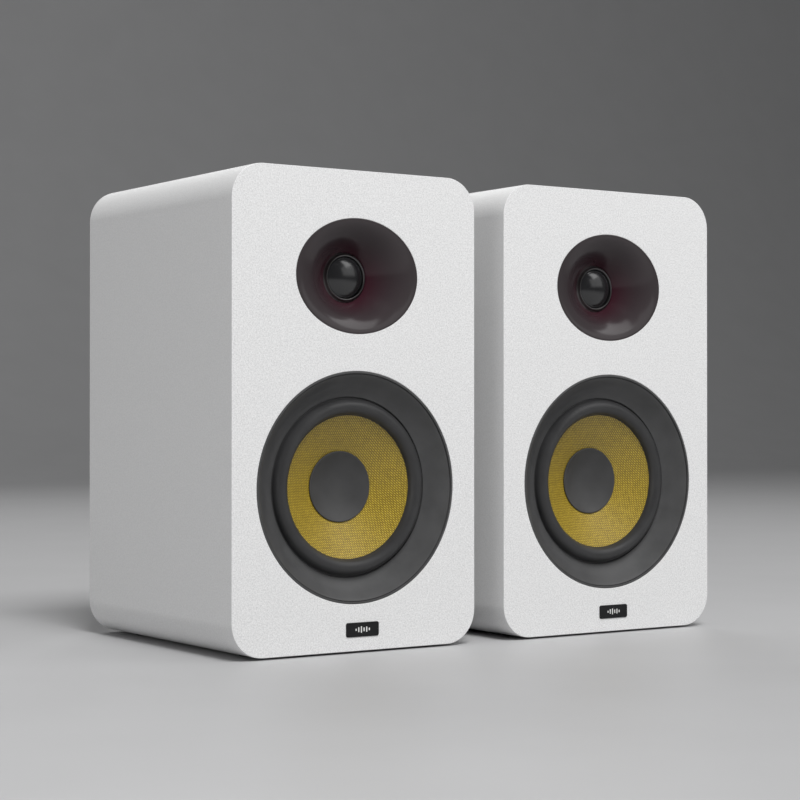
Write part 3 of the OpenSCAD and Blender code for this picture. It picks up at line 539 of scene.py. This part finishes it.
TRIM_R = half_size("left_trim_ring").x / MM
FLANGE_Y = (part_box("left_trim_ring")[1].y - FRONT_Y) / MM
TRIM_INNER_R = 60.4
TRIM_BACK_R = 73.8
TRIM_LEDGE_R = 65
TRIM_DEPTH = FLANGE_Y - 1.9
TRIM_STEP = 0.8
TRIM_SKIN = 2.4
TRIM_FACE_R = TRIM_R - 1.9
CONE_RIM_R = 48.2
CONE_RIM_Y = 12.0
CONE_SLOPE = 0.477
CAP_R = half_size("left_dust_cap").x / MM
ROLL_CREST_Y = (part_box("left_woofer_surround")[0].y - FRONT_Y) / MM
ROLL_OUTER_R = 59.3
ROLL_INNER_R = 48.4
SURROUND_R = 64.5
CONE_SKIN = 0.9
FORMER_GAP = 0.6


def cone_depth(r):
    """Depth of the cone's face at a radius."""
    return CONE_RIM_Y + (CONE_RIM_R - r) * CONE_SLOPE


def trim_face(r):
    """Depth of the trim ring's dished face: a step down from its lip, steepest in its outer half."""
    t = max(0.0, (TRIM_FACE_R - r) / (TRIM_FACE_R - TRIM_INNER_R))
    u = t ** 0.7
    return TRIM_STEP + (TRIM_DEPTH - TRIM_STEP) * (0.25 * t + 0.75 * u * u * (3 - 2 * u))


def trim_ring(side):
    """Dished ring with a fine groove just inside its rounded lip."""
    steps = 48
    start, end = TRIM_FACE_R - 0.15, TRIM_INNER_R + 0.35
    face = [start - (start - end) * i / steps for i in range(steps + 1)]
    groove_r = TRIM_FACE_R + 0.5
    profile = [(TRIM_R, FLANGE_Y), (TRIM_R, 0.7), (TRIM_R - 0.06, 0.4), (TRIM_R - 0.22, 0.17),
               (TRIM_R - 0.5, 0.04), (TRIM_R - 0.75, 0.0), (groove_r + 0.15, 0.03), (groove_r, 0.15),
               (groove_r - 0.03, 1.3), (TRIM_FACE_R + 0.03, 1.3), (TRIM_FACE_R, 1.0),
               (TRIM_FACE_R - 0.04, 0.9)]
    profile += [(r, trim_face(r)) for r in face]
    profile += [(TRIM_INNER_R + 0.1, TRIM_DEPTH + 0.1), (TRIM_INNER_R, TRIM_DEPTH + 0.35),
                (TRIM_INNER_R, FLANGE_Y - 1), (TRIM_LEDGE_R, FLANGE_Y - 1),
                (TRIM_LEDGE_R, trim_face(TRIM_LEDGE_R) + TRIM_SKIN),
                (TRIM_LEDGE_R + 2, trim_face(TRIM_LEDGE_R + 2) + TRIM_SKIN),
                (73.2, trim_face(TRIM_BACK_R) + TRIM_SKIN), (TRIM_BACK_R, FLANGE_Y)]
    ring = turned(f"{side}_trim", scaled(profile), at_front(f"{side}_trim_ring"), "trim_plastic", 256)
    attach(ring, f"{side}_speaker")
    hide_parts(f"{side}_trim_ring")


def blend_by_radius(obj, side, centre, r_still, r_moving):
    """The piece's outer edge stays with the speaker and its inner edge goes with the cone."""
    still, moving = f"{side}_speaker", f"{side}_woofer_moving"
    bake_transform(obj, still, moving, start=centre + Vector((0, 0, r_still)),
             end=centre + Vector((0, 0, r_moving)))
    weights = obj.data.attributes["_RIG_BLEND"].data
    for vertex, weight in zip(obj.data.vertices, weights):
        r = math.hypot(vertex.co.x - centre.x, vertex.co.z - centre.z)
        t = min(1.0, max(0.0, (r_still - r) / (r_still - r_moving)))
        weight.value = t * t * (3 - 2 * t)


def surround(side):
    """Half-roll of rubber, t thick, between the basket's flange and the cone."""
    t = 0.9
    mid = (ROLL_OUTER_R + ROLL_INNER_R) / 2
    half = (ROLL_OUTER_R - ROLL_INNER_R) / 2
    y_out, y_in = FLANGE_Y - 1, CONE_RIM_Y - 1
    y_mid = (y_out + y_in) / 2 + 1
    rise = y_mid - ROLL_CREST_Y
    outer = [(mid + half * math.cos(a), y_mid - rise * math.sin(a))
             for a in (math.radians(180 - 180 * i / 40) for i in range(3, 38))]
    inner = [(mid + (half - t) * math.cos(a), y_mid - (rise - t) * math.sin(a))
             for a in (math.radians(180 * i / 32) for i in range(2, 31))]
    profile = [(SURROUND_R, y_out), (SURROUND_R, FLANGE_Y), (ROLL_OUTER_R - t, FLANGE_Y), *inner,
               (ROLL_INNER_R + t, CONE_RIM_Y), (CONE_RIM_R, CONE_RIM_Y), (CONE_RIM_R, y_in + 0.4),
               (CONE_RIM_R + 0.06, y_in + 0.15), *outer, (ROLL_OUTER_R + 0.05, y_out - 0.1),
               (ROLL_OUTER_R + 0.2, y_out)]
    centre = at_front(f"{side}_woofer_cone")
    roll = turned(f"{side}_surround_roll", scaled(profile), centre, "surround_rubber", 256, 50)
    blend_by_radius(roll, side, centre, ROLL_OUTER_R * MM, (ROLL_INNER_R + t) * MM)
    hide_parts(f"{side}_woofer_surround")


def cone(side):
    """Woven cone, straight-sided, with a flat rim under the surround and a neck on the coil."""
    neck = half_size(f"{side}_voice_coil").x / MM - FORMER_GAP
    rim_r = CONE_RIM_R + 1.2
    steps = 60
    radii = [CONE_RIM_R - (CONE_RIM_R - neck) * i / steps for i in range(steps + 1)]
    profile = [(rim_r, CONE_RIM_Y + CONE_SKIN), (rim_r, CONE_RIM_Y)]
    profile += [(r, cone_depth(r)) for r in radii]
    profile += [(r, cone_depth(r) + CONE_SKIN) for r in reversed(radii)]
    piece = turned(f"{side}_cone", scaled(profile), at_front(f"{side}_woofer_cone"), "woven_cone", 256)
    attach(piece, f"{side}_woofer_moving")
    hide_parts(f"{side}_woofer_cone")


def dust_cap(side):
    """Dished cap with a small rolled rim."""
    rim_rise, skin = 0.9, 0.7
    y0 = cone_depth(CAP_R) - rim_rise
    low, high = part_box(f"{side}_dust_cap")
    dish = (high.y - low.y) / MM - rim_rise
    n = 24
    face = [((CAP_R - 1) * i / n, y0 + dish * (1 - (i / n) ** 2)) for i in range(n + 1)]
    rim = [(CAP_R - 0.7, y0 - 0.17), (CAP_R - 0.4, y0 - 0.2), (CAP_R - 0.12, y0 - 0.08),
           (CAP_R, y0 + 0.2), (CAP_R, cone_depth(CAP_R)), (CAP_R - 0.8, cone_depth(CAP_R - 0.8))]
    back = [(r * 0.97, d + skin) for r, d in reversed(face)]
    piece = turned(f"{side}_cap", scaled(face + rim + back), at_front(f"{side}_dust_cap"),
                   "cap_plastic", 192)
    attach(piece, f"{side}_woofer_moving")
    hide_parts(f"{side}_dust_cap")


def spider(side):
    """Corrugated disc, t thick, that centres the coil; its rim lies on the basket's ledge."""
    node = f"{side}_woofer_spider"
    ledge, rim_r = 37.0, 39.0
    t, waves, height, n = 0.6, 4, 1.1, 96
    r0, r1 = half_size(f"{side}_voice_coil").x / MM - FORMER_GAP, 34.5
    wave = [(r0 + (r1 - r0) * i / n,
             ledge - t + height * math.sin(2 * math.pi * waves * i / n) * math.sin(math.pi * i / n))
            for i in range(n + 1)]
    profile = wave + [(rim_r, ledge - t), (rim_r, ledge)] + [(r, d + t) for r, d in reversed(wave)]
    centre = at_front(node)
    piece = turned(f"{side}_spider_disc", scaled(profile), centre, "spider_cloth", 128, 60)
    blend_by_radius(piece, side, centre, r1 * MM, r0 * MM)
    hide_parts(node)


# ---------------------------------------------------------------- tweeter

GUIDE_RIM = 0.8 * MM
MOUTH_A = 47.2 * MM
MOUTH_B = 37.8 * MM
THROAT_R = 16.8 * MM
GUIDE_BACK = 21 * MM
GUIDE_LAP = 9 * MM
GUIDE_LAP_FRONT = 18 * MM
HORN_FLARE = 1.6


def guide_ring(s, out, depth, centre, n=192):
    """One ring of the horn: s runs from the round throat, 0, to the oval mouth, 1."""
    a = THROAT_R + (MOUTH_A - THROAT_R) * s + out
    b = THROAT_R + (MOUTH_B - THROAT_R) * s + out
    return [(centre.x + a * math.cos(2 * math.pi * i / n), centre.y + depth,
             centre.z + b * math.sin(2 * math.pi * i / n)) for i in range(n)]


def horn(s):
    """Depth of the horn's surface: s as in guide_ring."""
    return HORN_DEPTH * (1 - s) ** HORN_FLARE


def waveguide(side):
    """Oval horn with a thin rim, a collar and a flange behind the baffle."""
    centre = at_front(f"{side}_waveguide")
    n, steps, back_reach, back_steps = 192, 40, 0.72, 8
    rings = [(1 - i / steps, 0.0, horn(1 - i / steps)) for i in range(steps + 1)]
    rings += [(0, 0.0, GUIDE_BACK), (0, 2.6 * MM, GUIDE_BACK)]
    behind = [back_reach * i / back_steps for i in range(1, back_steps + 1)]
    rings += [(s, 1.3 * MM, horn(s) + 3 * MM) for s in behind]
    rings += [(1, -1.6 * MM, horn(back_reach) + 3.6 * MM), (1, -1.6 * MM, GUIDE_BACK),
              (1, GUIDE_LAP, GUIDE_BACK), (1, GUIDE_LAP, GUIDE_LAP_FRONT), (1, GUIDE_RIM, GUIDE_LAP_FRONT),
              (1, GUIDE_RIM, 0.3 * MM), (1, GUIDE_RIM * 0.85, 0.05 * MM), (1, GUIDE_RIM * 0.5, 0.0),
              (1, GUIDE_RIM * 0.15, 0.0)]
    verts = [p for s, out, depth in rings for p in guide_ring(s, out, depth, centre, n)]
    m = len(rings)
    faces = [(j * n + i, j * n + (i + 1) % n, (j + 1) % m * n + (i + 1) % n, (j + 1) % m * n + i)
             for j in range(m) for i in range(n)]
    piece = make(f"{side}_horn", verts, faces, "waveguide_gloss", 40)
    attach(piece, f"{side}_speaker")
    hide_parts(f"{side}_waveguide")


def bezel(side):
    """Fine raised ring in the horn's throat, round the dome."""
    profile = [(14.05, 20.9), (14.05, 16.3), (14.15, 15.8), (14.3, 15.45), (14.5, 15.16), (14.72, 15.02),
               (14.95, 15.02), (15.15, 15.16), (15.35, 15.5), (15.6, 15.95), (16.0, 16.45),
               (16.4, 16.82), (16.7, 17.0), (16.7, 20.9)]
    piece = turned(f"{side}_bezel_ring", scaled(profile), at_front(f"{side}_waveguide"),
                   "bezel_metal", 192, 50)
    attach(piece, f"{side}_speaker")
    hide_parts(f"{side}_tweeter_bezel")


def dome(side):
    """Dome, its narrow suspension and the short coil former behind it."""
    r, rise, base, t, n = 13.6, 4.4, 16.2, 0.35, 32
    sphere_r = (r * r + rise * rise) / (2 * rise)
    half = math.asin(r / sphere_r)
    c = base - rise + sphere_r
    crease_r, crease_half, crease_depth = 12.7, 0.35, 0.12
    skin = []
    for i in range(n + 1):
        a = half * i / n
        x, depth = sphere_r * math.sin(a), c - sphere_r * math.cos(a)
        dip = max(0.0, 1 - abs(x - crease_r) / crease_half)
        skin.append((x, depth + crease_depth * dip))
    back = [((sphere_r - t) * math.sin(half * i / n), c - (sphere_r - t) * math.cos(half * i / n))
            for i in range(n, -1, -1)]
    piece = turned(f"{side}_dome", scaled(skin + [(r, 27.0), (r - t, 27.0)] + back),
                   at_front(f"{side}_tweeter_dome"), "dome_gloss", 128)
    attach(piece, f"{side}_tweeter_moving")
    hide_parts(f"{side}_tweeter_dome")


# ---------------------------------------------------------------- back

def port(side):
    """Flared bass port."""
    node = f"{side}_port_tube"
    centre = at_front(node)
    low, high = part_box(node)
    rim = (high.y - FRONT_Y) / MM
    r0, flare, wall = 20.0, 8.0, 2.6
    length = (high.y - low.y) / MM
    curve = arc(r0 + flare, rim - flare, flare, 180, 90, 20)
    profile = [(r0, rim - length), *curve, (r0 + flare + 1.6, rim), (r0 + flare + 2.4, rim - 0.3),
               (r0 + flare + 2.9, rim - 1.0), (r0 + flare + 3, rim - 1.6), (r0 + flare + 3, rim - 2.5),
               (r0 + wall, rim - 2.5), (r0 + wall, rim - length)]
    piece = turned(f"{side}_port", scaled(profile), centre, "port_plastic", 160)
    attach(piece, f"{side}_speaker")
    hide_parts(node)


def pointer(knob, body):
    """White line let into a knob's notch."""
    face_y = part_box(knob)[1].y
    c = middle(knob)
    r = half_size(knob).z
    half_width, corner, notch, margin = 0.42 * MM, 0.2 * MM, 0.6, 3 * MM
    at = Vector((c.x, 0, c.z + r * (1 - notch) + (r * notch - margin) / 2))
    outline = rounded_outline(at, half_width, (r * notch - margin - corner) / 2, corner, 4)
    line = slab(f"{knob}_line", [outline], face_y - 0.55 * MM, face_y - 0.05 * MM, "knob_plastic", 0)
    line.data.materials[0] = MARK_WHITE
    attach(line, body)


def dial_marks(knob, count):
    """Short white lines round a knob, from its lowest to its highest setting."""
    c = middle(knob)
    r = half_size(knob).z + 2.2 * MM
    sweep, half_width, long_mark, short_mark = 300, 0.22 * MM, 2.4, 1.5
    verts, faces = [], []
    for i in range(count):
        a = math.radians(-sweep / 2 + sweep * i / (count - 1))
        length = long_mark if i in (0, count // 2, count - 1) else short_mark
        across = Vector((math.cos(a), 0, -math.sin(a))) * half_width
        out = Vector((math.sin(a), 0, math.cos(a)))
        start = Vector((c.x, 0, c.z)) + out * r
        end = start + out * length * MM
        base = len(verts)
        for y in (PANEL_Y - 0.05 * MM, PANEL_Y + 0.06 * MM):
            for p in (start - across, start + across, end + across, end - across):
                verts.append((p.x, y, p.z))
        for f in ((0, 1, 2, 3), (4, 5, 6, 7), (0, 1, 5, 4), (1, 2, 6, 5), (2, 3, 7, 6), (3, 0, 4, 7)):
            faces.append(tuple(base + k for k in f))
    marks = make(f"{knob}_marks", verts, faces, "amp_panel")
    marks.data.materials[0] = MARK_WHITE
    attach(marks, "left_speaker")


def mains_pins():
    """Plated blades over the socket's three pins."""
    low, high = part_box("mains_inlet")
    cx = low.x + 15 * MM + 2.5 * MM
    cz = (low.z + high.z) / 2
    mouth = PANEL_Y + 2 * MM
    half_width, half_height, corner = 1.04 * MM, 2.04 * MM, 0.2 * MM
    for name, dx, dz in (("neutral", -7, 2), ("line", 7, 2), ("earth", 0, -2)):
        at = Vector((cx + dx * MM, 0, cz + dz * MM))
        pin = slab(f"mains_pin_{name}", [rounded_outline(at, half_width, half_height, corner, 4)],
                   mouth - 17 * MM, mouth - 1.95 * MM, "inlet_plastic", 0.3 * MM)
        pin.data.materials[0] = PIN_METAL
        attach(pin, "left_speaker")


def jack_rings():
    """Coloured collars and inserts that tell the phono sockets apart."""
    low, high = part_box("line_jacks")
    x = (low.x + high.x) / 2
    colours = {"white": (0.70, 0.70, 0.68), "red": (0.45, 0.02, 0.02)}
    panel_centre = middle("amp_plate").z
    for name, dz in (("white", 22), ("red", 6)):
        centre = Vector((x, PANEL_Y, panel_centre + dz * MM))
        material = plastic(f"jack_{name}", colours[name], 0.35, 0.3 * MM, 0.01 * MM)
        collar = turned(f"jack_collar_{name}", scaled([(4.2, 1.15), (6.2, 1.15), (6.5, 0.9), (6.5, 0.0),
                        (6.3, -0.1), (4.2, -0.1)]), centre, "gilt_brass", 96)
        insert = turned(f"jack_insert_{name}", scaled([(1.75, 9.08), (3.3, 9.08), (3.3, 8.9),
                        (1.75, 8.9)]), centre, "gilt_brass", 64)
        for piece in (collar, insert):
            piece.data.materials[0] = material
            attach(piece, "left_speaker")


# ---------------------------------------------------------------- everything on the object

slots = {subpart["node"]: subpart["material_slot"] for subpart in frame["record"]["subparts"]}
for name, node in nodes.items():
    node.data.materials.clear()
    node.data.materials.append(MATERIALS[slots[name]])
    node.data.shade_smooth()
    node.data.set_sharp_from_angle(angle=math.radians(30))

for side in SIDES:
    cabinet(side)
    badge(side)
    trim_ring(side)
    surround(side)
    cone(side)
    dust_cap(side)
    spider(side)
    waveguide(side)
    bezel(side)
    dome(side)
    port(side)

for knob, body, count in (("volume_knob", "volume", 31), ("bass_knob", "bass", 11),
                          ("treble_knob", "treble", 11)):
    pointer(knob, body)
    dial_marks(knob, count)
mains_pins()
jack_rings()


# ---------------------------------------------------------------- stage

def backdrop():
    """Pale floor that sweeps up into a pale wall far behind."""
    paint = Paint("pale_paper", (0.47, 0.47, 0.475), 0.5, specular=0.35)
    paint.tint(paint.noise(120 * MM, 3), 0.985, 1.015)
    paint.bump(paint.noise(1.5 * MM, 2), 0.01 * MM)
    half, near, far, sweep, top = 9.0, -6.0, 3.0, 2.5, 6.0
    line = [(near, 0.0)] + [(far + sweep * math.sin(a), sweep * (1 - math.cos(a)))
                            for a in (math.radians(90 * i / 24) for i in range(25))]
    line.append((far + sweep, top))
    verts = [(x, y, z) for y, z in line for x in (-half, half)]
    faces = [(2 * i, 2 * i + 1, 2 * i + 3, 2 * i + 2) for i in range(len(line) - 1)]
    mesh = bpy.data.meshes.new("backdrop")
    mesh.from_pydata(verts, [], faces)
    mesh.shade_smooth()
    obj = bpy.data.objects.new("backdrop", mesh)
    bpy.context.scene.collection.objects.link(obj)
    mesh.materials.append(paint.material)


def softbox(name, place, aim, size, watts):
    """White rectangular light that faces aim."""
    light = bpy.data.lights.new(name, "AREA")
    light.shape = "RECTANGLE"
    light.size, light.size_y = size
    light.energy = watts
    obj = bpy.data.objects.new(name, light)
    obj.location = place
    obj.rotation_euler = (Vector(aim) - Vector(place)).to_track_quat("-Z", "Y").to_euler()
    bpy.context.scene.collection.objects.link(obj)
    return obj


def studio():
    """Soft light from high in front, a weak fill on the left, and weak boxes for the glossy pieces."""
    pair, tweeters = (0, 0, 0.2), (-0.1, -0.1, 0.25)
    world = bpy.data.worlds.new("studio")
    bpy.context.scene.world = world
    world.use_nodes = True
    background = world.node_tree.nodes["Background"]
    background.inputs["Color"].default_value = (0.80, 0.81, 0.82, 1)
    background.inputs["Strength"].default_value = 0.10
    key = softbox("key", (-0.75, -2.9, 4.2), (0, -0.1, 0.18), (1.9, 1.9), 226)
    key.visible_glossy = False  # no hot spots in the horns and domes
    softbox("left_fill", (-2.6, -0.6, 0.65), pair, (1.8, 1.2), 11)
    softbox("upper_right", (1.22, -1.14, 1.96), tweeters, (1.5, 0.95), 11)
    softbox("front_right", (1.35, -2.02, 1.25), tweeters, (2.3, 1.3), 7)
    softbox("rear_top", (0.5, 1.8, 2.0), pair, (1.6, 1.0), 14)


def camera():
    """Stands low in front and to the left, about half-way up the cabinets."""
    aside, ahead, above_foot = 0.7213, 1.11666, 0.15725
    data = bpy.data.cameras.new("camera")
    data.sensor_width = 36
    data.lens = 89.80
    data.clip_end = 50
    obj = bpy.data.objects.new("camera", data)
    left = middle("left_baffle").x
    cabinet_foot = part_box("left_baffle")[0].z
    obj.location = (left - aside, FRONT_Y - ahead, cabinet_foot + above_foot)
    obj.rotation_euler = Euler((math.radians(90.4214), 0, math.radians(-34.0666)))
    bpy.context.scene.collection.objects.link(obj)
    bpy.context.scene.camera = obj


backdrop()
studio()
camera()
bpy.context.scene.view_settings.view_transform = "Standard"
